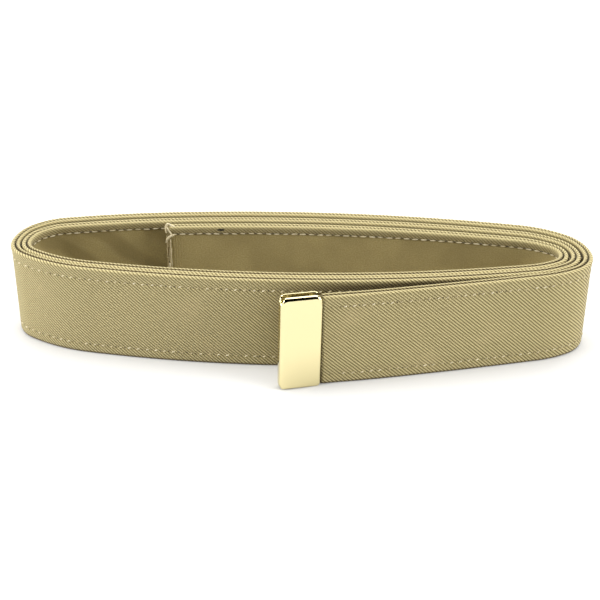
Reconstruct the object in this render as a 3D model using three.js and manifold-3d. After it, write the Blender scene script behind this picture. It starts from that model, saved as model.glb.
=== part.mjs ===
// A uniform belt, rolled up and standing on its edge: about two and a half laps of cloth strap in a
// flattened oval, with a folded brass tip on the free end. Millimetres and degrees, +Z up.
// The strap is a twill face ply, two turned edge bands and the smooth backing between the bands.

import * as THREE from 'three';
import { mergeVertices } from 'three/addons/utils/BufferGeometryUtils.js';
import Module from 'manifold-3d';

const wasm = await Module();
wasm.setup();

// Strap section
const strapHeight = 32.3;
const plyThickness = 1.15;
const plyGap = 0.3;
const backingThickness = 1.0;
const bandHeight = 3.1;
const bandGap = 0.3;
const foldRadius = 0.3;
const strapThickness = 2 * plyThickness + plyGap;

// Plan of the innermost lap's middle line, travelled clockwise from the raw end. The two radii that
// are left out follow from closing the loop.
const startHeading = 7.3;
const ovalArcs = [
  { stretch: 'back, right of the raw end', radius: 420, sweep: 16.6, steps: 6 },
  { stretch: 'right back shoulder', radius: 25, sweep: 28, steps: 3 },
  { stretch: 'right end', radius: 6.4, sweep: 107.2, steps: 8 },
  { stretch: 'right front shoulder', radius: 25.5, sweep: 21, steps: 2 },
  { stretch: 'front', radius: null, sweep: 23.1, steps: 7 },
  { stretch: 'left front shoulder', radius: 47, sweep: 25, steps: 3 },
  { stretch: 'left end', radius: null, sweep: 101.6, steps: 8 },
  { stretch: 'left back shoulder', radius: 12.4, sweep: 29.8, steps: 3 },
  { stretch: 'back, left of the raw end', radius: 274, sweep: 7.7, steps: 2 },
];

// Distance from one lap's middle line to the next one's, by the side of the oval
const lapSpacing = { back: 5.2, right: 4.1, front: 3.3, left: 3.75 };

// The last half lap leaves the coil and runs on freely to the tip
const leaveAngle = 890.3;
const freeRuns = [
  { run: 'leaving the coil', length: 45, radius: 1300, steps: 2 },
  { run: 'across the front', length: 25, radius: 530, steps: 2 },
  { run: 'bend at the tip', length: 4, radius: -48, steps: 2 },
  { run: 'inside the tip', length: 12.4, radius: Infinity, steps: 1 },
];

// Folded tip
const tipWidth = 13.6;
const tipHeight = 33.2;
const tipWall = 0.5;
const tipClearance = 0.3;
const tipEndGap = 1;
const tipBendRadius = 1.3;
const tipTopRadius = 2.2;
const tipBottomRadius = 1.2;
const tipSkew = 1;
const arcSegments = 6;

const radians = THREE.MathUtils.degToRad;

// Chord of an arc that turns clockwise from a heading
function arcChord(heading, length, turn) {
  const chord = turn === 0 ? length : length * Math.sin(turn / 2) / (turn / 2);
  return new THREE.Vector2(chord, 0).rotateAround(new THREE.Vector2(), heading - turn / 2);
}

// The missing radii make the sum of all the chords zero
function closedArcs(arcs) {
  const open = new THREE.Vector2();
  const missing = [];
  let heading = radians(startHeading);
  for (const arc of arcs) {
    const turn = radians(arc.sweep);
    const unitChord = arcChord(heading, turn, turn);
    if (arc.radius === null) {
      missing.push(unitChord);
    } else {
      open.addScaledVector(unitChord, arc.radius);
    }
    heading -= turn;
  }
  const [first, second] = missing;
  const area = first.cross(second);
  const solved = [second.cross(open) / area, open.cross(first) / area];
  return arcs.map((arc) => ({ ...arc, radius: arc.radius ?? solved.shift() }));
}

function spacingAt(normal) {
  const across = normal.x > 0 ? lapSpacing.right : lapSpacing.left;
  const along = normal.y > 0 ? lapSpacing.back : lapSpacing.front;
  return across * normal.x ** 2 + along * normal.y ** 2;
}

function station(point, heading) {
  return { point, heading, normal: new THREE.Vector2(-Math.sin(heading), Math.cos(heading)) };
}

// Points along the strap's middle line, with the normal that points out of the coil
function strapStations() {
  const arcs = closedArcs(ovalArcs);
  const stations = [];
  const point = new THREE.Vector2();
  let heading = radians(startHeading);
  let turned = 0;
  const addToCoil = () => {
    const place = station(point.clone(), heading);
    place.point.addScaledVector(place.normal, spacingAt(place.normal) * turned / 360);
    stations.push(place);
  };
  addToCoil();
  for (let arcIndex = 0; turned < leaveAngle; arcIndex += 1) {
    const arc = arcs[arcIndex % arcs.length];
    for (let step = 0; step < arc.steps && turned < leaveAngle; step += 1) {
      const sweep = Math.min(arc.sweep / arc.steps, leaveAngle - turned);
      const turn = radians(sweep);
      point.add(arcChord(heading, arc.radius * turn, turn));
      heading -= turn;
      turned += sweep;
      addToCoil();
    }
  }
  const free = stations.at(-1).point.clone();
  for (const run of freeRuns) {
    for (let step = 0; step < run.steps; step += 1) {
      const length = run.length / run.steps;
      const turn = length / run.radius;
      free.add(arcChord(heading, length, turn));
      heading -= turn;
      stations.push(station(free.clone(), heading));
    }
  }
  return stations;
}

// A ribbon that follows the strap between two distances from its middle line
function ribbon(stations, innerSide, outerSide, bottom, top, round) {
  const side = (distance) => stations.map(
    ({ point, normal }) => point.clone().addScaledVector(normal, distance),
  );
  const outline = new THREE.Shape([...side(outerSide), ...side(innerSide).reverse()]);
  const geometry = new THREE.ExtrudeGeometry(outline, {
    depth: top - bottom - 2 * round,
    bevelEnabled: round > 0,
    bevelThickness: round,
    bevelSize: round,
    bevelOffset: -round,
    bevelSegments: 1,
  });
  return geometry.translate(0, 0, bottom + round);
}

function toSolid(geometry) {
  const bare = geometry.clone();
  bare.deleteAttribute('normal');
  bare.deleteAttribute('uv');
  const merged = mergeVertices(bare);
  return new wasm.Manifold(new wasm.Mesh({
    numProp: 3,
    vertProperties: new Float32Array(merged.attributes.position.array),
    triVerts: new Uint32Array(merged.index.array),
  }));
}

function toGeometry(solid) {
  const mesh = solid.getMesh();
  const geometry = new THREE.BufferGeometry();
  geometry.setAttribute('position', new THREE.BufferAttribute(mesh.vertProperties, mesh.numProp));
  geometry.setIndex(new THREE.BufferAttribute(mesh.triVerts, 1));
  geometry.computeVertexNormals();
  return geometry;
}

function roundedRectangle(width, height, top, bottom) {
  const x = width / 2;
  const y = height / 2;
  const outline = new THREE.Shape();
  outline.absarc(x - top, y - top, top, 0, Math.PI / 2);
  outline.absarc(top - x, y - top, top, Math.PI / 2, Math.PI);
  outline.absarc(bottom - x, bottom - y, bottom, Math.PI, 1.5 * Math.PI);
  outline.absarc(x - bottom, bottom - y, bottom, 1.5 * Math.PI, 2 * Math.PI);
  return outline;
}

// One strip of brass folded over the free end: a U in plan, open towards the belt, with its four
// corners rounded off. Local x runs from the fold to the mouth, and z is the middle of its height.
function tipGeometry() {
  const half = strapThickness / 2 + tipClearance + tipWall;
  const innerHalf = half - tipWall;
  const bend = tipBendRadius;
  const innerBend = bend - tipWall;
  const section = new THREE.Shape();
  section.moveTo(tipWidth, -half);
  section.lineTo(tipWidth, -innerHalf);
  section.absarc(bend, innerBend - innerHalf, innerBend, 1.5 * Math.PI, Math.PI, true);
  section.absarc(bend, innerHalf - innerBend, innerBend, Math.PI, Math.PI / 2, true);
  section.lineTo(tipWidth, innerHalf);
  section.lineTo(tipWidth, half);
  section.absarc(bend, half - bend, bend, Math.PI / 2, Math.PI);
  section.absarc(bend, bend - half, bend, Math.PI, 1.5 * Math.PI);
  const folded = new THREE.ExtrudeGeometry(section, {
    depth: tipHeight,
    bevelEnabled: false,
    curveSegments: arcSegments,
  });
  folded.translate(0, 0, -tipHeight / 2);
  const corners = new THREE.ExtrudeGeometry(
    roundedRectangle(tipWidth, tipHeight, tipTopRadius, tipBottomRadius),
    { depth: 4 * half, bevelEnabled: false, curveSegments: arcSegments },
  );
  corners.translate(tipWidth / 2, 0, -2 * half);
  corners.rotateX(Math.PI / 2);
  return toGeometry(toSolid(folded).intersect(toSolid(corners)));
}

// Cloth and metal of each piece
const finishes = {
  twill: { color: 0xb09d72, roughness: 0.9, metalness: 0 },
  backing: { color: 0x83734a, roughness: 0.95, metalness: 0 },
  brass: { color: 0xf2e09a, roughness: 0.15, metalness: 1 },
};

function piece(name, geometry, finish) {
  const mesh = new THREE.Mesh(geometry, new THREE.MeshStandardMaterial(finishes[finish]));
  mesh.name = name;
  return mesh;
}

const stations = strapStations();
const outerFace = strapThickness / 2;
const seam = plyGap / 2;
const bandTop = strapHeight - bandHeight;

const facePly = piece(
  'face_ply',
  ribbon(stations, seam, outerFace, 0, strapHeight, foldRadius),
  'twill',
);
const topBand = piece(
  'top_edge_band',
  ribbon(stations, -outerFace, -seam, bandTop, strapHeight, foldRadius),
  'twill',
);
const bottomBand = piece(
  'bottom_edge_band',
  ribbon(stations, -outerFace, -seam, 0, bandHeight, foldRadius),
  'twill',
);
const backing = piece(
  'backing',
  ribbon(stations, -seam - backingThickness, -seam, bandHeight + bandGap, bandTop - bandGap, 0),
  'backing',
);

// The tip takes the strap's end in, leaves a gap at the fold and stands on the same surface
const strapEnd = stations.at(-1);
const towardsBelt = strapEnd.heading + Math.PI;
const belt = new THREE.Group();
const tip = piece('belt_tip', tipGeometry(), 'brass');
const tipReach = tipWall + tipEndGap;
tip.position.set(
  strapEnd.point.x - tipReach * Math.cos(towardsBelt),
  strapEnd.point.y - tipReach * Math.sin(towardsBelt),
  0,
);
tip.rotation.set(0, radians(tipSkew), towardsBelt, 'ZYX');
tip.position.z -= new THREE.Box3().setFromObject(tip, true).min.z;
belt.add(facePly, topBand, bottomBand, backing, tip);

// The origin is the middle of the belt's box, on the surface that it stands on
const middle = new THREE.Box3().setFromObject(belt, true).getCenter(new THREE.Vector3());
belt.position.set(-middle.x, -middle.y, 0);
belt.updateMatrixWorld(true);

export default belt;
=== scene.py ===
import bisect
import math
import random

import bmesh
import bpy
from mathutils import Matrix, Quaternion, Vector


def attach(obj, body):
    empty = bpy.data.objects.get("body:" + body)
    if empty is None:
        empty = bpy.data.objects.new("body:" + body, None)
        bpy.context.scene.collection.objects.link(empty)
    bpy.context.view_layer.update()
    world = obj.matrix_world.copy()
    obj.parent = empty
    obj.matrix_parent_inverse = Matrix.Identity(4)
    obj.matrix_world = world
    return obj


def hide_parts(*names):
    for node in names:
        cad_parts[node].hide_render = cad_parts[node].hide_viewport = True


# A uniform belt, rolled up on its edge. The strap is made flat, as it is sewn, and then rolled along
# the coil's plan. Tables are in millimetres and degrees, and the meshes are turned to metres.
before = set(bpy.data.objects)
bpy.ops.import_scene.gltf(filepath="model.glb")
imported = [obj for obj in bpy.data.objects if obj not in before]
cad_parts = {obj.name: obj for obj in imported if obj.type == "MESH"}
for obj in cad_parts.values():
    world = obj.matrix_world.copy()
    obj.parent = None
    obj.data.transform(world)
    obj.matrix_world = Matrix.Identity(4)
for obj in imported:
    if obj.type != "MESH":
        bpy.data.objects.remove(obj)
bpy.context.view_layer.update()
mm = 0.001
print("frame loaded:", sorted(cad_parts))

strap = {
    "height": 32.3,
    "thickness": 2.6,
    "seam": 0.15,  # half the gap between the two plies
    "hem": 3.1,  # height of the turned bands
    "faceRows": (3.5, 28.3),  # heights of the two rows of stitches on the face
    "innerRows": (2.95, 29.35),  # and of the two on the bands
    "stitchPitch": 3.05,
    "walePitch": 1.3,  # along the strap
    "waleSlope": 1.08,  # millimetres along for each one across
    "waleColumns": 4,  # columns of faces to a wale
}
outerFace = strap["thickness"] / 2

coil = {
    "rawEnd": (-46.9084, 19.4089),
    "startHeading": 7.3,
    "arcs": [  # stretch, radius, sweep
        ("back, right of the raw end", 420, 16.6),
        ("right back shoulder", 25, 28),
        ("right end", 6.4, 107.2),
        ("right front shoulder", 25.5, 21),
        ("front", None, 23.1),
        ("left front shoulder", 47, 25),
        ("left end", None, 101.6),
        ("left back shoulder", 12.4, 29.8),
        ("back, left of the raw end", 274, 7.7),
    ],
    "lapSpacing": {"back": 5.2, "right": 4.1, "front": 3.3, "left": 3.75},
    "leaveAngle": 890.3,
    "freeRuns": [  # run, length, radius
        ("leaving the coil", 45, 1300),
        ("across the front", 25, 530),
        ("bend at the tip", 4, -48),
        ("inside the tip", 12.4, math.inf),
    ],
    "step": 0.5,
    "stepMargin": 5,  # added to a radius when its steps are counted, for the outer laps
}


def clamp(share):
    return min(max(share, 0), 1)


def arcChord(heading, length, turn):
    chord = length if turn == 0 else length * math.sin(turn / 2) / (turn / 2)
    return Vector((math.cos(heading - turn / 2), math.sin(heading - turn / 2))) * chord


def closedArcs():
    # the two radii that are left out make the sum of all the chords zero
    heading = math.radians(coil["startHeading"])
    openEnd = Vector((0, 0))
    missing = []
    for stretch, radius, sweep in coil["arcs"]:
        turn = math.radians(sweep)
        chord = arcChord(heading, turn, turn)
        if radius is None:
            missing.append(chord)
        else:
            openEnd += chord * radius
        heading -= turn
    first, second = missing
    area = first.cross(second)
    solved = [second.cross(openEnd) / area, openEnd.cross(first) / area]
    return [(radius or solved.pop(0), math.radians(sweep)) for stretch, radius, sweep in coil["arcs"]]


def lapSpacing(normal):
    across = coil["lapSpacing"]["right" if normal.x > 0 else "left"]
    along = coil["lapSpacing"]["back" if normal.y > 0 else "front"]
    return across * normal.x ** 2 + along * normal.y ** 2


def strapPath():
    # distance along the strap, middle-line point and outward normal, from the raw end to the tip's end
    leave = math.radians(coil["leaveAngle"])
    heading = math.radians(coil["startHeading"])
    base = Vector(coil["rawEnd"])
    turned = 0
    rounding = 1e-9
    path = []

    def note(point, spiral):
        # spiral is the angle that the lap has moved outwards by
        normal = Vector((-math.sin(heading), math.cos(heading)))
        place = point + normal * lapSpacing(normal) * spiral / math.tau
        distance = path[-1][0] + (place - path[-1][1]).length if path else 0
        path.append((distance, place, normal))

    note(base, turned)
    arcs = closedArcs()
    arcIndex = 0
    while leave - turned > rounding:
        radius, sweep = arcs[arcIndex % len(arcs)]
        sweep = min(sweep, leave - turned)
        steps = math.ceil((radius + coil["stepMargin"]) * sweep / coil["step"])
        for step in range(steps):
            base += arcChord(heading, radius * sweep / steps, sweep / steps)
            heading -= sweep / steps
            turned += sweep / steps
            note(base, turned)
        arcIndex += 1
    free = path[-1][1].copy()
    for run, length, radius in coil["freeRuns"]:
        steps = math.ceil(length / coil["step"])
        for step in range(steps):
            free += arcChord(heading, length / steps, length / steps / radius)
            heading -= length / steps / radius
            note(free, 0)
    return path


path = strapPath()
pathDistances = [distance for distance, point, normal in path]
strapLength = pathDistances[-1]
print(f"strap laid out: {strapLength:.1f} mm long")


def strapPlace(along):
    # the middle line runs on straight past both ends
    index = min(max(bisect.bisect_right(pathDistances, along), 1), len(path) - 1)
    before, after = path[index - 1], path[index]
    share = (along - before[0]) / (after[0] - before[0])
    return before[1].lerp(after[1], share), before[2].lerp(after[2], clamp(share)).normalized()


def rollUp(bm):
    # x is the distance along the flat strap, y is outwards from its middle line and z is up
    columns = {}
    for vert in bm.verts:
        column = round(vert.co.x, 4)
        if column not in columns:
            columns[column] = strapPlace(column)
        point, normal = columns[column]
        place = point + normal * vert.co.y
        vert.co = Vector((place.x, place.y, vert.co.z)) * mm


def finishPiece(bm, name, material):
    mesh = bpy.data.meshes.new(name)
    for face in bm.faces:
        face.smooth = True
    bm.to_mesh(mesh)
    bm.free()
    mesh.materials.append(material)
    piece = bpy.data.objects.new(name, mesh)
    bpy.context.scene.collection.objects.link(piece)
    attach(piece, "root")
    print(f"{name}: {len(mesh.polygons)} faces")
    return piece


class Value:
    # an output socket that can stand in a sum

    def __init__(self, recipe, socket):
        self.recipe = recipe
        self.socket = socket

    def maths(self, operation, *numbers):
        return self.recipe.add("ShaderNodeMath", {"operation": operation}, dict(enumerate(numbers)))

    def __add__(self, other):
        return self.maths("ADD", self, other)

    __radd__ = __add__

    def __sub__(self, other):
        return self.maths("SUBTRACT", self, other)

    def __rsub__(self, other):
        return self.maths("SUBTRACT", other, self)

    def __mul__(self, other):
        return self.maths("MULTIPLY", self, other)

    __rmul__ = __mul__

    def __truediv__(self, other):
        return self.maths("DIVIDE", self, other)

    def __pow__(self, other):
        return self.maths("POWER", self, other)


class Recipe:
    # one material and its nodes

    def __init__(self, name):
        self.material = bpy.data.materials.new(name)
        self.material.use_nodes = True
        self.tree = self.material.node_tree
        self.tree.nodes.clear()

    def add(self, kind, settings, values, output=0):
        node = self.tree.nodes.new(kind)
        for name, setting in settings.items():
            setattr(node, name, setting)
        for name, value in values.items():
            if isinstance(value, Value):
                self.tree.links.new(value.socket, node.inputs[name])
            else:
                node.inputs[name].default_value = value
        return Value(self, node.outputs[output]) if node.outputs else None

    def cloth(self):
        # the strap's own flat coordinates, in millimetres: along it and round its section
        uv = self.add("ShaderNodeUVMap", {"uv_map": "cloth"}, {})
        along = self.add("ShaderNodeSeparateXYZ", {}, {0: uv}, 0)
        across = self.add("ShaderNodeSeparateXYZ", {}, {0: uv}, 1)
        return uv, along * 1000, across * 1000

    def noise(self, vector, scale, detail=2):
        values = {"Vector": vector, "Scale": scale, "Detail": detail}
        return self.add("ShaderNodeTexNoise", {}, values)

    def ramp(self, value, low, high, start=0, end=1):
        # a smooth step from start to end
        settings = {"interpolation_type": "SMOOTHSTEP"}
        return self.add("ShaderNodeMapRange", settings, {0: value, 1: low, 2: high, 3: start, 4: end})

    def mix(self, share, first, second):
        settings = {"data_type": "RGBA"}
        return self.add("ShaderNodeMix", settings, {0: share, 6: first, 7: second}, 2)

    def finish(self, **values):
        names = {"colour": "Base Color", "roughness": "Roughness", "normal": "Normal",
                 "metallic": "Metallic", "sheen": "Sheen Weight", "specular": "Specular IOR Level"}
        inputs = {names[name]: value for name, value in values.items()}
        shader = self.add("ShaderNodeBsdfPrincipled", {}, inputs)
        self.add("ShaderNodeOutputMaterial", {}, {0: shader})
        return self.material

    def bump(self, height, distance, strength=1):
        values = {"Strength": strength, "Distance": distance, "Height": height}
        return self.add("ShaderNodeBump", {}, values)

    def wave(self, value):
        # rises from 0 to 1 and falls back once for each whole number
        return self.add("ShaderNodeMath", {"operation": "PINGPONG"}, {0: value, 1: 0.5}) * 2

    def lot(self, value):
        # a random number for each whole number
        whole = self.add("ShaderNodeMath", {"operation": "FLOOR"}, {0: value})
        return self.add("ShaderNodeTexWhiteNoise", {"noise_dimensions": "1D"}, {"W": whole})


# Twill cloth
twillLook = {
    "ridge": (0.70, 0.60, 0.31, 1),
    # the groove colour is the wales' dark tone, and in the backing it is also painted shade in the
    # crinkles
    "grooveAndCrinkleShade": (0.185, 0.142, 0.05, 1),
    # the crest colour is a painted highlight along the top folded edges, and the cavity colour is painted
    # shade between the plies
    "crestHighlight": (0.68, 0.58, 0.30, 1),  # along the folded edges
    "cavityShade": (0.075, 0.048, 0.012, 1),  # down between the plies
    "fleck": (0.62, 0.48, 0.25, 1),
    "roughness": 0.85,
    "sheen": 0.15,
    "specular": 0.2,
    "waleHeight": 0.00024,  # metres, as the bump of every look is
    "waleRise": (0.12, 0.72),  # from the groove to the top, by shares of half a wale
    "driftScale": 160,
    "waleDrift": 0.22,
    "pickPitch": 0.7,  # picks are the beads that a wale is made up of
    "pickSlant": 0.35,
    "pickDrift": 0.6,
    "pickDepth": 0.42,
    "calm": 0.5,  # how flat the pressed wales are
    "calmSpan": 0.4,  # half the width over which they get flat
    "patchScale": 60,
    "patches": 0.25,
    "fuzzScale": 2300,
    "fuzzHeight": 0.25,
    "speckle": 0.25,
    "hole": (0.128, 0.448),  # radii of a needle hole's dark middle and of its rim
    # painted shade darkens the needle holes
    "holeDarkness": 0.8,
    "holeDepth": 1.2,
    "faintestHole": 0.3,
    "stain": (18.3, 36.35),  # along and across, millimetres
    "stainSize": (1.35, 0.5),
    "stainRim": (0.7, 1.15),
    "stainSpread": 0.9,
    "stainScale": 1500,
    "stainDarkness": 0.95,
    "stainColour": (0.006, 0.008, 0.008, 1),
}


def twillMaterial(name, rows, stained=False, calmFrom=None):
    # past calmFrom, across the cloth, the wales are pressed flat
    look = twillLook
    recipe = Recipe(name)
    uv, along, across = recipe.cloth()
    edge = recipe.add("ShaderNodeAttribute", {"attribute_name": "edge"}, {}, 2)
    calm = 0
    if calmFrom is not None:
        calm = recipe.ramp(across, calmFrom - look["calmSpan"], calmFrom + look["calmSpan"]) * look["calm"]
    # from the edge attribute: where the crests get their painted highlight and the cavities their painted
    # shade
    crestHighlight = recipe.ramp(edge, 0.1, 0.9) * (1 - calm * 0.6)
    cavityShade = recipe.ramp(edge, -0.1, -0.8)
    drift = recipe.noise(uv, look["driftScale"]) - 0.5
    wale = (along - across * strap["waleSlope"]) / strap["walePitch"] + drift * look["waleDrift"]
    pick = (across + along * look["pickSlant"]) / look["pickPitch"] + drift * look["pickDrift"]
    bead = recipe.wave(pick) * look["pickDepth"] + (1 - look["pickDepth"])
    rope = recipe.ramp(recipe.wave(wale), *look["waleRise"]) * bead
    rope = rope * (1 - calm) + calm * 0.5
    patches = recipe.noise(uv, look["patchScale"], 3)
    fuzz = recipe.noise(uv, look["fuzzScale"], 2)
    colour = recipe.mix(rope, look["grooveAndCrinkleShade"], look["ridge"])
    colour = recipe.mix(recipe.ramp(patches, 0.55, 0.8) * look["patches"], colour, look["fleck"])
    colour = recipe.mix(recipe.ramp(fuzz, 0.35, 0.6, 1, 0) * look["speckle"], colour, look["grooveAndCrinkleShade"])
    # painted highlight on the crests and painted shade down in the cavities; the wales show less on the
    # crests, and more down in the cavities
    colour = recipe.mix(crestHighlight * (rope * 0.7 + 0.1), colour, look["crestHighlight"])
    colour = recipe.mix(cavityShade * (1.2 - rope * 0.6), colour, look["cavityShade"])
    height = rope * (1 - crestHighlight * 0.5) + fuzz * look["fuzzHeight"]
    for row in rows:
        # needle holes lie between the stitches, darkened with painted shade
        place = along / strap["stitchPitch"]
        step = (1 - recipe.wave(place + 0.5)) * (strap["stitchPitch"] / 2)
        sideways = across - row
        away = (step * step + sideways * sideways) ** 0.5
        openness = recipe.lot(place + row + 0.5) * (1 - look["faintestHole"]) + look["faintestHole"]
        hole = recipe.ramp(away, *look["hole"], 1, 0) * openness
        colour = recipe.mix(hole * look["holeDarkness"], colour, look["cavityShade"])
        height = height - hole * look["holeDepth"]
    if stained:
        ink = recipe.noise(uv, look["stainScale"], 2) - 0.5
        dx = (along - look["stain"][0]) / look["stainSize"][0]
        dy = (across - look["stain"][1]) / look["stainSize"][1]
        away = (dx * dx + dy * dy) ** 0.5 + ink * look["stainSpread"]
        spot = recipe.ramp(away, *look["stainRim"], 1, 0)
        colour = recipe.mix(spot * look["stainDarkness"], colour, look["stainColour"])
    normal = recipe.bump(height, look["waleHeight"])
    return recipe.finish(colour=colour, roughness=look["roughness"], normal=normal,
                         sheen=look["sheen"], specular=look["specular"])


# Smooth backing cloth
backingLook = {
    "colour": (0.405, 0.325, 0.14, 1),
    "shade": (0.315, 0.25, 0.105, 1),
    # the speck colour is the weave's random specks, and also painted shade of the creases
    "speckAndCreaseShade": (0.17, 0.13, 0.05, 1),
    "roughness": 0.9,
    "sheen": 0.1,
    "specular": 0.15,
    "patchScale": 45,
    "weaveScale": 2200,
    "weaveHeight": 0.00012,
    "specks": 0.35,
    # painted shade in the crinkles at the raw end, whose shape is in the bump
    "crinkleShade": 0.16,  # at the raw end
    "crinklePitch": 0.85,
    "crinkleScale": 300,
    "crinkleDrift": 1.5,
    "crinkleFade": (7, 2),  # along the strap
    # painted shade of slanted creases where the strap comes round to the raw end; they are in the colour
    # only, not in the bump
    "creaseShade": 0.5,  # slanted, where the strap comes round to the raw end
    "creasePitch": 19,
    "creaseSlant": 1.2,
    "creaseScale": 40,
    "creaseDrift": 0.8,
    "creaseStart": (325, 345),
}


def backingMaterial():
    look = backingLook
    recipe = Recipe("backingCloth")
    uv, along, across = recipe.cloth()
    patches = recipe.noise(uv, look["patchScale"], 3)
    weave = recipe.noise(uv, look["weaveScale"], 3)
    crinkle = along / look["crinklePitch"] + recipe.noise(uv, look["crinkleScale"]) * look["crinkleDrift"]
    crinkle = recipe.wave(crinkle) * recipe.ramp(along, *look["crinkleFade"])
    colour = recipe.mix(recipe.ramp(patches, 0.3, 0.65), look["shade"], look["colour"])
    colour = recipe.mix(recipe.ramp(weave, 0.35, 0.65) * look["specks"], colour, look["speckAndCreaseShade"])
    # painted shade of slanted creases
    creaseShadeMask = (along + across * look["creaseSlant"]) / look["creasePitch"]
    creaseShadeMask = recipe.wave(creaseShadeMask + recipe.noise(uv, look["creaseScale"]) * look["creaseDrift"])
    creaseShadeMask = recipe.ramp(creaseShadeMask, 0.3, 0.8) * recipe.ramp(along, *look["creaseStart"])
    colour = recipe.mix(creaseShadeMask * look["creaseShade"], colour, look["speckAndCreaseShade"])
    # painted shade in the crinkles
    colour = recipe.mix(crinkle * look["crinkleShade"], colour, twillLook["grooveAndCrinkleShade"])
    normal = recipe.bump(weave + crinkle, look["weaveHeight"])
    return recipe.finish(colour=colour, roughness=look["roughness"], normal=normal,
                         sheen=look["sheen"], specular=look["specular"])


# Sewing thread and frayed yarn
threadLook = {
    "pale": (0.84, 0.75, 0.52, 1),
    "dull": (0.50, 0.41, 0.22, 1),
    "roughness": 0.7,
    "specular": 0.3,
    "lotHeight": 20,  # threads this far apart have tones of their own
    "twistPitch": 0.5,
    "twistSlant": 1.4,
    "twistHeight": 0.00008,
}


def threadMaterial(name, palest, lotPitch):
    # each stitch or strand has its own paleness
    look = threadLook
    low, high = palest
    recipe = Recipe(name)
    uv, along, across = recipe.cloth()
    paleness = recipe.lot(along / lotPitch + across / look["lotHeight"]) * (high - low) + low
    colour = recipe.mix(paleness, look["dull"], look["pale"])
    twist = recipe.wave((along + across * look["twistSlant"]) / look["twistPitch"])
    normal = recipe.bump(twist, look["twistHeight"])
    return recipe.finish(colour=colour, roughness=look["roughness"], normal=normal,
                         specular=look["specular"])


# Polished brass
brassLook = {
    "colour": (0.80, 0.71, 0.405, 1),
    "roughness": (0.035, 0.08),  # of its brightest and its most smeared places
    "smearScale": 180,
    "waveScale": 90,
    "waveHeight": 0.00004,
    "waviness": 0.15,
}


def brassMaterial():
    look = brassLook
    recipe = Recipe("polishedBrass")
    place = recipe.add("ShaderNodeTexCoord", {}, {}, 3)
    smear = recipe.noise(place, look["smearScale"], 3)
    roughness = recipe.ramp(smear, 0.3, 0.8, *look["roughness"])
    normal = recipe.bump(recipe.noise(place, look["waveScale"], 1), look["waveHeight"], look["waviness"])
    return recipe.finish(colour=look["colour"], roughness=roughness, normal=normal, metallic=1)


def waleHeight(along, across):
    place = (along - across * strap["waleSlope"]) / strap["walePitch"] % 1
    return math.sin(math.pi * place)


# A strip of cloth has a section that is walked round once, with its seam on the hidden side. Each row
# is out, up, place across the cloth, direction and height of the wales' relief there, and edge, which
# is 1 on the crest of a fold and -1 deep between the plies. The edge value sets a painted highlight on
# the crests and painted shade between the plies.
fold = {
    "radius": 0.7,  # at the top, where the edges bulge
    "bulge": 0.25,
    "steps": 8,
    "lowRadius": 0.45,
    "lowShift": 0.1,  # outwards from the seam
    "lowSteps": 4,
    "lowLift": 0.3,  # rise of the edge value over the lower fold
    "relief": 0.07,
    "faceRelief": 0.02,
    "waleLevel": 0.6,  # share of a wale's height that lies on the section
    "crestSpan": 0.9,  # shares of the half turn: of the crest, and from its end down to the seam
    "seamSpan": 0.28,
    "faceSeam": (0.6, -0.45),  # share of the half turn where the crest ends, and edge value at the seam
    "bandSeam": (0.52, -1.3),
    "tuck": 2,  # how far the cloth runs under at the seam
    "bandTuck": 0.5,
    "bandGap": 1.2,  # across the cloth, from the face's height to the band's start
    "bandCalmFrom": 2.3,  # and to where the band's wales are pressed flat
    "bottomEdge": -0.3,  # highest edge value of the bottom band, which lies in its own shadow
    "weld": 0.001,
    # the negative edge values at the lower fold are painted shade
    "face": [  # measured from, up, depth below the outer face, edge: the stitches press it in
        ("lowFold", 0.25, 0.02, -0.5), ("lowFold", 0.6, 0.01, -0.15),
        ("lowStitches", -0.8, 0, 0), ("lowStitches", 0, 0.14, 0), ("lowStitches", 0.8, 0, 0),
        ("lowStitches", 3, 0, 0), ("highStitches", -3, 0, 0), ("highStitches", -0.8, 0, 0),
        ("highStitches", 0, 0.14, 0), ("highStitches", 0.8, -0.05, 0),
        ("topFold", -1.4, -0.15, 0), ("topFold", -0.7, -0.225, 0),
    ],
    # the hem's edge values are painted shade on the inner hem, darkest at its foot and under it
    "hem": [  # up from the hem's foot, depth below the band's inner side, relief, edge
        (1.9, -0.2, 0.02, -0.34), (1.3, -0.1, 0.02, -0.4), (0.7, 0, 0.02, -0.42),
        (0.25, 0.1, 0.02, -0.55), (0.05, 0.35, 0, -0.8),
    ],
    "hemUnder": [  # in from the seam, up, on across the cloth, edge
        (0.3, 0, 0.8, -0.6), (0, 0.1, 1.1, -1),
    ],
    # painted shade on the face behind the free run
    "behindFreeRun": [  # along, edge value and how far down from the crest it is reached
        (540, 0, 0.3), (552, -0.9, 0.3), (600, -0.8, 0.9), (625, -0.6, 1.8), (645, -0.35, 2.4),
        (662, 0, 2.4),
    ],
    # the painted shade behind the free run starts this far below the strap's top
    "crestDepth": 0.35,  # how far the crest stays bright below the strap's top
}
still = Vector((0, 0))


def halfRound(middle, high, radius, start, across, edgeAt, steps):
    rows = []
    for step in range(steps + 1):
        share = step / steps
        angle = math.radians(start + 180 * share)
        away = Vector((math.cos(angle), math.sin(angle)))
        place = across + math.pi * radius * share
        rows.append((middle + radius * away.x, high + radius * away.y, place, away * fold["relief"],
                     edgeAt(share)))
    return rows


def topEdge(toSeam, crestEnd, darkest):
    # painted highlight over the crest, and painted shade from there down to the seam
    bright = math.sin(math.pi * min(toSeam, crestEnd) / fold["crestSpan"])
    share = clamp((toSeam - crestEnd) / fold["seamSpan"])
    return bright + (darkest - bright) * share


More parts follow.
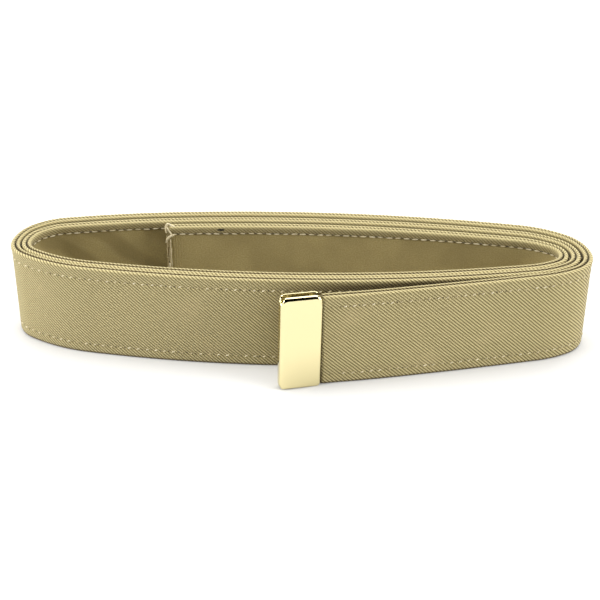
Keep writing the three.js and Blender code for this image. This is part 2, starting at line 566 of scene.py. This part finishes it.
def facePlySection():
    inner, outer, height = strap["seam"], outerFace, strap["height"]
    low, high = fold["lowRadius"], height - fold["radius"]
    lowTurn, turn = math.pi * low, math.pi * fold["radius"]
    halfway, tuck = height / 2, fold["tuck"]
    lowStitches, highStitches = strap["faceRows"]
    starts = {"lowFold": low, "lowStitches": lowStitches, "highStitches": highStitches, "topFold": high}
    outwards = Vector((fold["faceRelief"], 0))
    rows = [(inner, halfway, low - lowTurn - halfway, still, -1),
            (inner, low + tuck, low - lowTurn - tuck, still, -1)]
    # painted shade over the lower fold, darkest towards the seam
    rows += halfRound(inner + low + fold["lowShift"], low, low, 180, low - lowTurn,
                      lambda share: fold["lowLift"] * share - 1, fold["lowSteps"])
    for start, rise, depth, edge in fold["face"]:
        up = starts[start] + rise
        rows.append((outer - depth, up, up, outwards, edge))
    rows += halfRound(outer + fold["bulge"] - fold["radius"], high, fold["radius"], 0, high,
                      lambda share: topEdge(share, *fold["faceSeam"]), fold["steps"])
    rows += [(inner, high - tuck, high + turn + tuck, still, -1),
             (inner, halfway, high + turn + halfway, still, -1)]
    return rows


def bandPlace(up):
    # across the cloth, which runs on from the face over the edge and down
    overEdge = strap["height"] + fold["bandGap"] + math.pi * fold["radius"]
    return overEdge + strap["height"] - fold["radius"] - up


def bandSection():
    inner, outer = -outerFace, -strap["seam"]
    high = strap["height"] - fold["radius"]
    low = strap["height"] - strap["hem"]
    halfway = (low + high) / 2
    start = strap["height"] + fold["bandGap"]
    rows = [(outer, halfway, strap["height"], still, -1),
            (outer, high - fold["bandTuck"], start - fold["bandTuck"], still, -1)]
    rows += halfRound(inner - fold["bulge"] + fold["radius"], high, fold["radius"], 0, start,
                      lambda share: topEdge(1 - share, *fold["bandSeam"]), fold["steps"])
    for rise, depth, relief, edge in fold["hem"]:
        up = low + rise
        rows.append((inner + depth, up, bandPlace(up), Vector((-relief, 0)), edge))
    for away, rise, onwards, edge in fold["hemUnder"]:
        rows.append((outer - away, low + rise, bandPlace(low) + onwards, still, edge))
    rows.append((outer, halfway, bandPlace(low) + fold["tuck"], still, -1))
    return rows


# The strap's last stretch, inside the tip. A pair is the distance to the strap's end where a change
# starts, and the length that it takes.
insideTip = {
    "thinFrom": (13.1, 0.9),
    "thinning": 0.5,
    "shortFrom": (12.2, 1.4),
    "shortening": 0.12,
    "roomyFrom": (10, 1.2),  # between its rounded corners the tip has more room
    "roomyTo": (2.6, 1.2),
    "filling": 0.3,
    # painted shade at the tip's mouth
    "darkFrom": (12.95, 0.5),
    "darkTo": (11.5, 1.5),
    "darkness": 0.6,
}


def reached(toEnd, change):
    start, length = insideTip[change]
    return clamp((start - toEnd) / length)


def mouthShade(along):
    # painted shade, dark where the cloth dips into the tip's mouth
    toEnd = strapLength - along
    return -insideTip["darkness"] * reached(toEnd, "darkFrom") * (1 - reached(toEnd, "darkTo"))


def pinch(along, out, up):
    # the last stretch is squeezed inside the tip, most of all at the tip's rounded corners
    toEnd = strapLength - along
    roomy = reached(toEnd, "roomyFrom") - reached(toEnd, "roomyTo")
    thin = insideTip["thinning"] * reached(toEnd, "thinFrom")
    short = insideTip["shortening"] * (reached(toEnd, "shortFrom") - roomy)
    middle = strap["height"] / 2
    return out * (1 - thin + insideTip["filling"] * roomy), middle + (up - middle) * (1 - short)


def faceShade(along, up):
    # painted shade: the face is dull and dark where the free run lies close in front of it
    depth = max(strap["height"] - fold["crestDepth"] - up, 0)
    places = fold["behindFreeRun"]
    for (start, dark, reach), (end, nextDark, nextReach) in zip(places, places[1:]):
        if start <= along < end:
            share = (along - start) / (end - start)
            darkest = dark + (nextDark - dark) * share
            return darkest * min(depth / (reach + (nextReach - reach) * share), 1)
    return 0


def clothStrip(section, step, isFace=False):
    bm = bmesh.new()
    columns = round(strapLength / step)
    lastRow = len(section) - 1
    fit = Matrix.Diagonal((strapLength, lastRow, 1, 1)) @ Matrix.Translation((0.5, 0.5, 0))
    bmesh.ops.create_grid(bm, x_segments=columns, y_segments=lastRow, size=0.5, matrix=fit)
    cloth = bm.loops.layers.uv.new("cloth")
    for face in bm.faces:
        for loop in face.loops:
            across = section[round(loop.vert.co.y)][2]
            loop[cloth].uv = (loop.vert.co.x * mm, across * mm)
    edgeLayer = bm.verts.layers.float.new("edge")
    for vert in bm.verts:
        along = vert.co.x
        out, up, across, relief, edge = section[round(vert.co.y)]
        rise = waleHeight(along, across) - fold["waleLevel"]
        shade = min(mouthShade(along), faceShade(along, up)) if isFace else mouthShade(along)
        # a painted shade of 0 is none, and leaves a crest's painted highlight as bright as it is
        vert[edgeLayer] = min(edge, shade) if shade < 0 else edge
        vert.co = Vector((along, *pinch(along, out + rise * relief.x, up + rise * relief.y)))
    bmesh.ops.remove_doubles(bm, verts=bm.verts, dist=fold["weld"])
    rims = [edge for edge in bm.edges if edge.is_boundary]
    bmesh.ops.holes_fill(bm, edges=rims, sides=0)
    bmesh.ops.recalc_face_normals(bm, faces=bm.faces)
    return bm


def mirrorUp(bm):
    # turns a top strip into the bottom one
    turnOver = Matrix.Translation((0, 0, strap["height"])) @ Matrix.Diagonal((1, 1, -1, 1))
    bmesh.ops.transform(bm, matrix=turnOver, verts=bm.verts)
    edgeLayer = bm.verts.layers.float["edge"]
    for vert in bm.verts:
        # painted shade: the bottom band gets no crest highlight and is kept darker, as it lies in its own
        # shadow
        vert[edgeLayer] = min(vert[edgeLayer], fold["bottomEdge"])
    bmesh.ops.recalc_face_normals(bm, faces=bm.faces)


waleStep = strap["walePitch"] / strap["waleColumns"]
faceBm = clothStrip(facePlySection(), waleStep, isFace=True)
rollUp(faceBm)
faceTwill = twillMaterial("faceTwill", strap["faceRows"])
facePly = finishPiece(faceBm, "facePly", faceTwill)

bandTwill = twillMaterial("bandTwill", [bandPlace(strap["innerRows"][1])], stained=True,
                          calmFrom=strap["height"] + fold["bandCalmFrom"])
topBm = clothStrip(bandSection(), waleStep)
rollUp(topBm)
topEdgeBand = finishPiece(topBm, "topEdgeBand", bandTwill)
bottomTwill = twillMaterial("bottomTwill", [])
bottomBm = clothStrip(bandSection(), waleStep)
mirrorUp(bottomBm)
rollUp(bottomBm)
bottomEdgeBand = finishPiece(bottomBm, "bottomEdgeBand", bottomTwill)

# The backing sags a little between the bands, and dips at both of its edges
backing = {
    "recess": 0.22,
    "clearance": 0.04,  # from the bands
    "section": [  # share of the height, depth
        (0, 0.1), (0.04, 0), (0.25, 0.05), (0.5, 0.08), (0.75, 0.05), (0.96, 0), (1, 0.1),
    ],
    "edgeAcross": 1,  # across the cloth, from the shown side to the hidden one
    "backAcross": 26,
}


def backingSection():
    inner, outer = -outerFace + backing["recess"], -strap["seam"]
    low = strap["hem"] + backing["clearance"]
    high = strap["height"] - strap["hem"] - backing["clearance"]
    rows = [(outer, low, -backing["edgeAcross"], still, -1)]
    for share, depth in backing["section"]:
        up = low + (high - low) * share
        rows.append((inner + depth, up, up, still, 0))
    rows.append((outer, high, high + backing["edgeAcross"], still, -1))
    rows.append((outer, low, high + backing["backAcross"], still, -1))
    return rows


backingBm = clothStrip(backingSection(), strap["walePitch"])
rollUp(backingBm)
backingCloth = finishPiece(backingBm, "backingCloth", backingMaterial())

# Stitches: short threads that dip into the cloth at both ends
stitch = {
    "innerLength": 2.15,
    "innerRadius": 0.27,
    "innerPaleness": (0.2, 0.8),
    "faceLength": 1.2,
    "faceRadius": 0.27,
    "faceTilt": 24,
    "faceSink": 0.04,
    "facePaleness": (0, 1),
    "flatness": 0.8,
    "sides": 6,
    "freeEnd": 16,  # length at the tip that has none
    "alongJitter": 0.12,
    "turnJitter": 5,
    "outJitter": 0.05,
    "upJitter": 0.07,
    "scale": (0.85, 1.1),
}
dice = random.Random(7)


def jitter(size):
    return dice.uniform(-size, size)


def flatCoordinates(bm):
    cloth = bm.loops.layers.uv.new("cloth")
    for face in bm.faces:
        for loop in face.loops:
            loop[cloth].uv = (loop.vert.co.x * mm, loop.vert.co.z * mm)


def oneStitch(length, radius):
    bm = bmesh.new()
    size = Matrix.Diagonal((length / 2, radius * stitch["flatness"], radius, 1))
    shape = size @ Matrix.Rotation(math.pi / 2, 4, "Y")
    sides = stitch["sides"]
    bmesh.ops.create_uvsphere(bm, u_segments=sides, v_segments=sides, radius=1, matrix=shape)
    mesh = bpy.data.meshes.new("oneStitch")
    bm.to_mesh(mesh)
    bm.free()
    return mesh


def stitchRows(length, radius, rows, out, tilt):
    pattern = oneStitch(length, radius)
    bm = bmesh.new()
    count = int((strapLength - stitch["freeEnd"]) / strap["stitchPitch"])
    for up in rows:
        for index in range(count):
            along = (index + 0.5) * strap["stitchPitch"] + jitter(stitch["alongJitter"])
            turn = Matrix.Rotation(math.radians(tilt + jitter(stitch["turnJitter"])), 4, "Y")
            outwards, upwards = out + jitter(stitch["outJitter"]), up + jitter(stitch["upJitter"])
            copy = pattern.copy()
            place = Matrix.Translation((along, outwards, upwards))
            copy.transform(place @ turn @ Matrix.Scale(dice.uniform(*stitch["scale"]), 4))
            bm.from_mesh(copy)
            bpy.data.meshes.remove(copy)
    bpy.data.meshes.remove(pattern)
    flatCoordinates(bm)
    rollUp(bm)
    return bm


innerBm = stitchRows(stitch["innerLength"], stitch["innerRadius"], strap["innerRows"], -outerFace, 0)
paleThread = threadMaterial("paleThread", stitch["innerPaleness"], strap["stitchPitch"])
innerStitches = finishPiece(innerBm, "innerStitches", paleThread)
outerBm = stitchRows(stitch["faceLength"], stitch["faceRadius"], strap["faceRows"],
                     outerFace - stitch["faceSink"], stitch["faceTilt"])
faceThread = threadMaterial("faceThread", stitch["facePaleness"], strap["stitchPitch"])
faceStitches = finishPiece(outerBm, "faceStitches", faceThread)

# Loose yarn at the raw end. Each strand is a thickness and points of along, out and up.
rawEnd = {
    "strands": [
        (0.42, [(-0.9, -1.0, 30.3), (-1.3, -0.9, 31.5), (-1.0, -0.7, 32.7), (-0.4, -0.5, 33.2),
                (0.3, -0.5, 32.8), (1.0, -0.7, 32.3), (1.9, -0.8, 32.0)]),
        (0.36, [(-0.9, -1.1, 32.2), (-1.1, -1.2, 31.2), (-0.9, -1.3, 30.1)]),
        (0.28, [(-0.7, -1.5, 32.1), (-0.2, -1.8, 31.2), (0.5, -1.8, 30.2), (0.9, -1.6, 29.2)]),
        (0.38, [(1.6, -1.55, 29.3), (0.6, -1.8, 29.1), (-0.3, -1.8, 28.5), (-1.0, -1.6, 27.6),
                (-1.1, -1.4, 26.4)]),
        (0.26, [(-0.3, -1.4, 18.2), (-0.4, -1.5, 16.4), (-0.2, -1.4, 13.7), (-0.3, -1.3, 10.0),
                (-0.1, -1.3, 7.5)]),
    ],
    "paleness": (0.35, 0.9),
    "tonePitch": 0.37,
    # the cut edge, with strands that lie up and down along it
    "edgeStrands": 20,
    "edgeTop": (22, 28.6),
    "edgeBottom": (2, 19.5),
    "edgeAlong": (-0.85, 0.5),
    "edgeOut": (-1.25, 0.9),
    "overBacking": -1.15,  # out, of the strands that lie on the cloth
    "edgeSteps": 7,
    "alongWander": 0.22,
    "outWander": 0.2,
    "edgeThickness": (0.14, 0.26),
    # and a fringe of fine threads that stick out of it
    "fringe": 150,
    "fringeRoot": 0.4,
    "fringeFoot": 1,
    "fringeTop": 0.5,  # below the strap's top
    "fringeOut": 1.2,
    "fringeReach": (0.4, 1.3),
    "fringeDrop": (-0.6, 0.4),
    "fringeBend": (0.4, 0.3),  # shares of the reach and the drop at its middle point
    "fringeLean": ((-0.2, 0.1), (-0.4, 0.2)),  # outwards, of its middle point and its end
    "fringeThickness": (0.05, 0.1),
    "fringePaleness": (-0.5, 0.55),
    "weld": 1e-5,
}


def yarn(strands):
    # smooth tubes through the strands' points
    curve = bpy.data.curves.new("yarn", "CURVE")
    curve.dimensions = "3D"
    curve.bevel_depth = 1
    curve.bevel_resolution = 1
    curve.use_fill_caps = True
    for thickness, points in strands:
        spline = curve.splines.new("NURBS")
        spline.points.add(len(points) - 1)
        spline.order_u = min(4, len(points))
        spline.use_endpoint_u = True
        spline.resolution_u = 4
        for place, point in zip(spline.points, points):
            place.co = (*point, 1)
            place.radius = thickness
    shape = bpy.data.objects.new("yarn", curve)
    mesh = bpy.data.meshes.new_from_object(shape)
    bm = bmesh.new()
    bm.from_mesh(mesh)
    bpy.data.meshes.remove(mesh)
    bpy.data.objects.remove(shape)
    bpy.data.curves.remove(curve)
    for layer in list(bm.loops.layers.uv.values()):
        bm.loops.layers.uv.remove(layer)
    bmesh.ops.remove_doubles(bm, verts=bm.verts, dist=rawEnd["weld"])
    bmesh.ops.recalc_face_normals(bm, faces=bm.faces)
    flatCoordinates(bm)
    rollUp(bm)
    return bm


def edgeStrand():
    top, bottom = dice.uniform(*rawEnd["edgeTop"]), dice.uniform(*rawEnd["edgeBottom"])
    along, out = dice.uniform(*rawEnd["edgeAlong"]), dice.uniform(*rawEnd["edgeOut"])
    if along > 0:
        out = rawEnd["overBacking"]
    steps = rawEnd["edgeSteps"]
    points = []
    for step in range(steps + 1):
        sideways, outwards = jitter(rawEnd["alongWander"]), jitter(rawEnd["outWander"])
        points.append((along + sideways, out + outwards, top + (bottom - top) * step / steps))
    return dice.uniform(*rawEnd["edgeThickness"]), points


def fringeThread():
    up = dice.uniform(rawEnd["fringeFoot"], strap["height"] - rawEnd["fringeTop"])
    out = jitter(rawEnd["fringeOut"])
    reach, drop = dice.uniform(*rawEnd["fringeReach"]), dice.uniform(*rawEnd["fringeDrop"])
    middleReach, middleDrop = rawEnd["fringeBend"]
    middleLean, endLean = [dice.uniform(*lean) for lean in rawEnd["fringeLean"]]
    points = [(rawEnd["fringeRoot"], out, up),
              (-reach * middleReach, out + middleLean, up + drop * middleDrop),
              (-reach, out + endLean, up + drop)]
    return dice.uniform(*rawEnd["fringeThickness"]), points


def rawEndStrands():
    strands = [edgeStrand() for index in range(rawEnd["edgeStrands"])]
    return strands + [fringeThread() for index in range(rawEnd["fringe"])]


looseYarn = threadMaterial("looseYarn", rawEnd["paleness"], rawEnd["tonePitch"])
rawEndThreads = finishPiece(yarn(rawEnd["strands"]), "rawEndThreads", looseYarn)
frayedYarn = threadMaterial("frayedYarn", rawEnd["fringePaleness"], rawEnd["tonePitch"])
rawEndFringe = finishPiece(yarn(rawEndStrands()), "rawEndFringe", frayedYarn)

# Folded brass tip
tip = {
    "width": 13.6,
    "height": 33.2,
    "halfThickness": 2.1,
    "wall": 0.45,
    "bend": 1.3,
    "topCorner": 2.2,
    "bottomCorner": 1.2,
    "endGap": 1,
    "skew": 1,
    "topCrown": 1.1,  # radius that the rim is turned in with
    "sideCrown": 0.6,
    "crownFrom": 4,  # below the top, where the crown starts to widen
    "crownSpan": 3,
    "lean": 0.5,  # of the back plate's top edge, towards the front
    "leanHeight": 2,
    "rows": 60,
    "foldShares": (0, 0.5, 1),  # columns from the middle of the fold to its bend
    "bendColumns": 8,
    "sideColumns": 30,
}


def tipCorner(upper):
    return tip["topCorner"] if upper else tip["bottomCorner"]


def tipHalfHeight(across, upper):
    # half the tip's height at a distance from its fold, with rounded corners
    corner = tipCorner(upper)
    inset = max(corner - min(across, tip["width"] - across), 0)
    return tip["height"] / 2 - corner + math.sqrt(max(corner ** 2 - inset ** 2, 0))


def tipLean(up):
    # the back plate leans in a little at the top and is cut off flat
    share = clamp((up - tip["height"] / 2 + tip["leanHeight"]) / tip["leanHeight"])
    return tip["lean"] * share ** 2


def tipCrown(across, up):
    # how far the rim is turned in, by the distance from the outline
    corner = tipCorner(up > 0)
    sideways = corner - min(across, tip["width"] - across)
    upwards = corner - (tip["height"] / 2 - abs(up))
    if sideways > 0 and upwards > 0:
        edge = corner - math.hypot(sideways, upwards)
    else:
        edge = min(corner - upwards, tip["width"] - across)
    share = clamp((up - tip["height"] / 2 + tip["crownFrom"]) / tip["crownSpan"])
    radius = tip["sideCrown"] + (tip["topCrown"] - tip["sideCrown"]) * share
    near = 1 - min(max(edge, 0) / radius, 1)
    return radius * (1 - math.sqrt(max(1 - near ** 2, 0)))


def tipOutline():
    # half of the U in plan, from the middle of the fold to the mouth: point and outward normal
    half, bend = tip["halfThickness"], tip["bend"]
    outline = [(Vector((0, share * (half - bend))), Vector((-1, 0))) for share in tip["foldShares"]]
    for step in range(1, tip["bendColumns"] + 1):
        angle = math.pi / 2 * step / tip["bendColumns"]
        normal = Vector((-math.cos(angle), math.sin(angle)))
        outline.append((Vector((bend, half - bend)) + normal * bend, normal))
    reach = tip["width"] - bend
    for step in range(1, tip["sideColumns"] + 1):
        # closer together towards the mouth
        share = math.sin(math.pi / 2 * step / tip["sideColumns"])
        outline.append((Vector((bend + reach * share, half)), Vector((0, 1))))
    return outline


def tipMesh():
    half = tipOutline()
    mirrored = [(Vector((point.x, -point.y)), Vector((normal.x, -normal.y)))
                for point, normal in half[:0:-1]]
    outline = mirrored + half
    rows, columns = tip["rows"], len(outline) - 1
    bm = bmesh.new()
    fit = Matrix.Diagonal((columns, rows, 1, 1)) @ Matrix.Translation((0.5, 0.5, 0))
    bmesh.ops.create_grid(bm, x_segments=columns, y_segments=rows, size=0.5, matrix=fit)
    for vert in bm.verts:
        point, normal = outline[round(vert.co.x)]
        share = math.sin((round(vert.co.y) / rows - 0.5) * math.pi)
        up = share * tipHalfHeight(point.x, share > 0)
        back = max(normal.y, 0) if up > 0 else 0
        place = point - normal * (tipCrown(point.x, up) * (1 - back) + tipLean(up) * back)
        vert.co = Vector((place.x, place.y, up))
    bmesh.ops.recalc_face_normals(bm, faces=bm.faces)
    foldFace = min(bm.faces, key=lambda face: face.calc_center_median().length)
    if foldFace.normal.x > 0:
        bmesh.ops.reverse_faces(bm, faces=bm.faces)
    bmesh.ops.solidify(bm, geom=bm.faces[:], thickness=tip["wall"])
    bmesh.ops.recalc_face_normals(bm, faces=bm.faces)
    return bm


def placeTip(bm):
    end, normal = path[-1][1:]
    heading = math.atan2(-normal.x, normal.y)
    towardsBelt = heading + math.pi
    reach = tip["wall"] + tip["endGap"]
    turn = Matrix.Rotation(towardsBelt, 4, "Z") @ Matrix.Rotation(math.radians(tip["skew"]), 4, "Y")
    foldPlace = end - Vector((math.cos(towardsBelt), math.sin(towardsBelt))) * reach
    shift = Matrix.Translation((foldPlace.x, foldPlace.y, 0))
    bmesh.ops.transform(bm, matrix=shift @ turn, verts=bm.verts)
    lowest = min(vert.co.z for vert in bm.verts)
    bmesh.ops.translate(bm, vec=(0, 0, -lowest), verts=bm.verts)
    bmesh.ops.scale(bm, vec=(mm, mm, mm), verts=bm.verts)


tipBm = tipMesh()
placeTip(tipBm)
beltTip = finishPiece(tipBm, "beltTip", brassMaterial())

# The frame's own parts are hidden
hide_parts("face_ply")
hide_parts("top_edge_band")
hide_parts("bottom_edge_band")
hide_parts("backing")
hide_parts("belt_tip")
flatLength = strapLength * mm

# Floor, lights and camera
studio = {
    "floorSize": 6,
    "floor": (0.84, 0.84, 0.84, 1),
    "world": 0.22,
    "lights": [  # name, place, size, power
        ("overheadSoftbox", (0, 0.16, 0.9), (1.2, 0.9), 11.6),
        ("leftSoftbox", (-0.9, -0.22, 0.3), (0.6, 0.5), 8.6),
        ("rightSoftbox", (0.9, -0.2, 0.3), (0.6, 0.5), 6.8),
        ("backSoftbox", (0, 1.1, 0.5), (1.6, 0.7), 5),
    ],
    "darkCard": (0, -0.11, 0.202),  # in front, and seen only in the brass
    "darkCardSize": (0.26, 0.412),
    "darkCardLean": 76,
    "darkCardColour": (0.004, 0.004, 0.003, 1),
}


def stagePlane(name, matrix, material):
    bm = bmesh.new()
    bmesh.ops.create_grid(bm, x_segments=1, y_segments=1, size=0.5, matrix=matrix)
    mesh = bpy.data.meshes.new(name)
    bm.to_mesh(mesh)
    bm.free()
    mesh.materials.append(material)
    plane = bpy.data.objects.new(name, mesh)
    bpy.context.scene.collection.objects.link(plane)
    return plane


def makeFloor():
    paper = Recipe("floorPaper").finish(colour=studio["floor"], roughness=0.9, specular=0.1)
    stagePlane("floor", Matrix.Diagonal((studio["floorSize"], studio["floorSize"], 1, 1)), paper)


def makeDarkCard():
    wide, high = studio["darkCardSize"]
    lean = Matrix.Rotation(math.radians(studio["darkCardLean"]), 4, "X")
    place = Matrix.Translation(studio["darkCard"]) @ lean @ Matrix.Diagonal((wide, high, 1, 1))
    black = Recipe("darkCard").finish(colour=studio["darkCardColour"], roughness=1, specular=0)
    card = stagePlane("darkCard", place, black)
    card.visible_camera = card.visible_diffuse = card.visible_shadow = card.visible_transmission = False


def makeLights():
    for name, place, size, power in studio["lights"]:
        light = bpy.data.lights.new(name, "AREA")
        light.shape = "RECTANGLE"
        light.size, light.size_y = size
        light.energy = power
        lamp = bpy.data.objects.new(name, light)
        lamp.location = place
        lamp.rotation_euler = (-Vector(place)).to_track_quat("-Z", "Y").to_euler()
        bpy.context.scene.collection.objects.link(lamp)
    world = bpy.data.worlds.new("studio")
    bpy.context.scene.world = world
    world.use_nodes = True
    background = world.node_tree.nodes["Background"]
    background.inputs[0].default_value = (1, 1, 1, 1)
    background.inputs[1].default_value = studio["world"]


makeFloor()
makeDarkCard()
makeLights()
bpy.context.scene.view_settings.view_transform = "Standard"

view = {
    "lookAt": (0.685, -2.438, 16.06),
    "distance": 400,
    "azimuth": 3.2,
    "elevation": 28.5,
    "roll": 0.4,
    "lens": 70.5,
    "sensor": 36,
    "clipStart": 0.01,
}


def makeCamera():
    azimuth, elevation = math.radians(view["azimuth"]), math.radians(view["elevation"])
    back = Vector((math.sin(azimuth) * math.cos(elevation), -math.cos(azimuth) * math.cos(elevation),
                   math.sin(elevation)))
    data = bpy.data.cameras.new("camera")
    data.lens = view["lens"]
    data.sensor_width = view["sensor"]
    data.clip_start = view["clipStart"]
    camera = bpy.data.objects.new("camera", data)
    camera.location = (Vector(view["lookAt"]) + back * view["distance"]) * mm
    camera.rotation_mode = "QUATERNION"
    roll = Quaternion((0, 0, 1), math.radians(view["roll"]))
    camera.rotation_quaternion = (-back).to_track_quat("-Z", "Y") @ roll
    bpy.context.scene.collection.objects.link(camera)
    bpy.context.scene.camera = camera


makeCamera()
print("studio set up")
